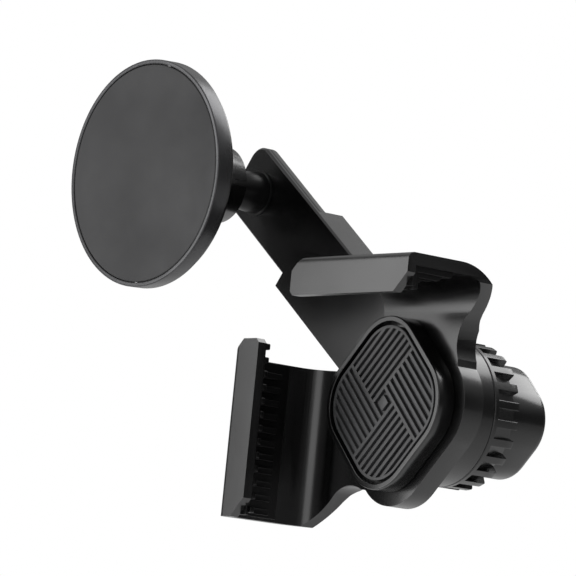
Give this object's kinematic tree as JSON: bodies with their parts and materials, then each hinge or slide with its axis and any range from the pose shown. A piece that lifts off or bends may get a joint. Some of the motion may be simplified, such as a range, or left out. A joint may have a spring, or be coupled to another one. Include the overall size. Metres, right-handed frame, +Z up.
{
  "type": "car phone mount",
  "caption": "Phone mount that clamps on the corner of a car's centre screen with two hooked claws and a screw pad, with a swivel arm and a magnetic disc on a ball joint.",
  "frame": {"origin": "centre of the clamp pad's front face, with the pad drawn fully back", "axes": "+X right along the screen, +Y away from the driver along the main axis of the clamp, +Z up"},
  "size_m": [0.1308, 0.0707, 0.1151],
  "materials": {
    "body_plastic": "satin moulded ABS, black",
    "cap_plastic": "satin moulded ABS, black",
    "knob_plastic": "moulded nylon, black",
    "arm_plastic": "fine-grained moulded nylon, black",
    "head_plastic": "fine-grained moulded nylon, black",
    "inner_plastic": "acetal, dark grey",
    "liner_rubber": "soft moulded rubber, black",
    "grip_silicone": "soft ribbed silicone, black",
    "face_rubber": "matte soft-touch silicone, dark grey",
    "rim_metal": "anodised dark, fine satin",
    "stud_metal": "black coated zinc alloy",
    "stem_steel": "zinc plated",
    "screw_steel": "black oxide",
    "insert_brass": "machined",
    "magnet_metal": "nickel plated magnet"
  },
  "bodies": {
    "clamp": {"clamp_body": "body_plastic", "left_claw_liner": "liner_rubber", "top_claw_liner": "liner_rubber", "rear_sleeve": "inner_plastic", "sleeve_screws": "screw_steel", "retainer_plate": "body_plastic", "retainer_screws": "screw_steel", "friction_washer": "inner_plastic", "thrust_washer": "screw_steel"},
    "pad": {"pad_tray": "body_plastic", "pad_grip": "grip_silicone", "pad_stem": "stem_steel", "pad_screw": "screw_steel", "rear_cap": "cap_plastic", "cap_screw": "screw_steel"},
    "knob": {"knob_ring": "knob_plastic", "knob_insert": "insert_brass"},
    "arm": {"arm": "arm_plastic", "arm_end_cover": "arm_plastic", "ball_stud": "stud_metal", "stud_screw": "screw_steel", "arm_washer": "inner_plastic"},
    "inner_cup": {"socket_cup_inner": "inner_plastic"},
    "outer_cup": {"socket_cup_outer": "inner_plastic"},
    "head": {"head_back_shell": "head_plastic", "socket_plug": "inner_plastic", "head_rim": "rim_metal", "face_pad": "face_rubber", "magnet_carrier": "inner_plastic", "magnet_ring": "magnet_metal", "steel_plate": "stem_steel", "head_screws": "screw_steel"}
  },
  "joints": [
    {"name": "knob_turn", "type": "hinge", "parent": "clamp", "child": "knob", "pos_m": [0, 0.025, 0], "axis": [0, 1, 0], "range_deg": [0, 720]},
    {"name": "pad_slide", "type": "slide", "parent": "clamp", "child": "pad", "axis": [0, -1, 0], "range_m": [0, 0.006]},
    {"name": "arm_swivel", "type": "hinge", "parent": "clamp", "child": "arm", "pos_m": [0, 0.015, 0], "axis": [0, 1, 0], "continuous": true},
    {"name": "head_nod", "type": "hinge", "parent": "arm", "child": "inner_cup", "pos_m": [-0.07234, -0.007, 0.05639], "axis": [1, 0, 0], "range_deg": [-17.8, 12.2]},
    {"name": "head_turn", "type": "hinge", "parent": "inner_cup", "child": "outer_cup", "pos_m": [-0.07234, -0.007, 0.05639], "axis": [0, 0, 1], "range_deg": [-18.5, 11.5]},
    {"name": "head_spin", "type": "hinge", "parent": "outer_cup", "child": "head", "pos_m": [-0.07234, -0.007, 0.05639], "axis": [-0.061, 0.9969, 0.0488], "continuous": true}
  ],
  "couplings": [
    {"joint": "knob_turn", "follows": "pad_slide", "rad_per_m": 2094}
  ]
}
